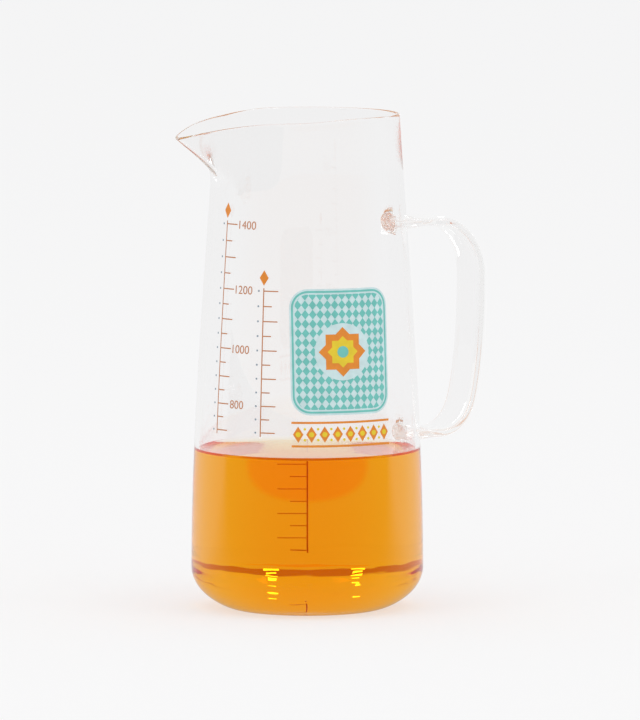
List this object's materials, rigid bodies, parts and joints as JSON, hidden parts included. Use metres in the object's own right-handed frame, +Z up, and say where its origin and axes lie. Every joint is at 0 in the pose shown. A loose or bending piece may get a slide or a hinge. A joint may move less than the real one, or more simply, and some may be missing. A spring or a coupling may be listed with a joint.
{
  "type": "glass jug",
  "caption": "Clear glass jug with a tapered body, a pulled pouring lip, a fused strap handle, enamel prints on the wall and a drink in its lower third.",
  "frame": {"origin": "centre of the flat underside, on the surface that the jug stands on", "axes": "+Z up along the body's axis, +X towards the handle, so the pouring lip points to -X"},
  "size_m": [0.1628, 0.11, 0.2344],
  "materials": {
    "clear_glass": "clear, fire-polished",
    "amber_drink": "clear liquid",
    "teal_enamel": "fired enamel print, satin",
    "orange_enamel": "fired enamel print, satin",
    "copper_enamel": "fired enamel print, satin"
  },
  "bodies": {
    "root": {"glass_body": "clear_glass", "glass_handle": "clear_glass", "drink": "amber_drink", "print_panel": "teal_enamel", "print_band": "orange_enamel", "scale_tall": "copper_enamel", "scale_mid": "copper_enamel", "scale_low": "copper_enamel"}
  },
  "joints": []
}
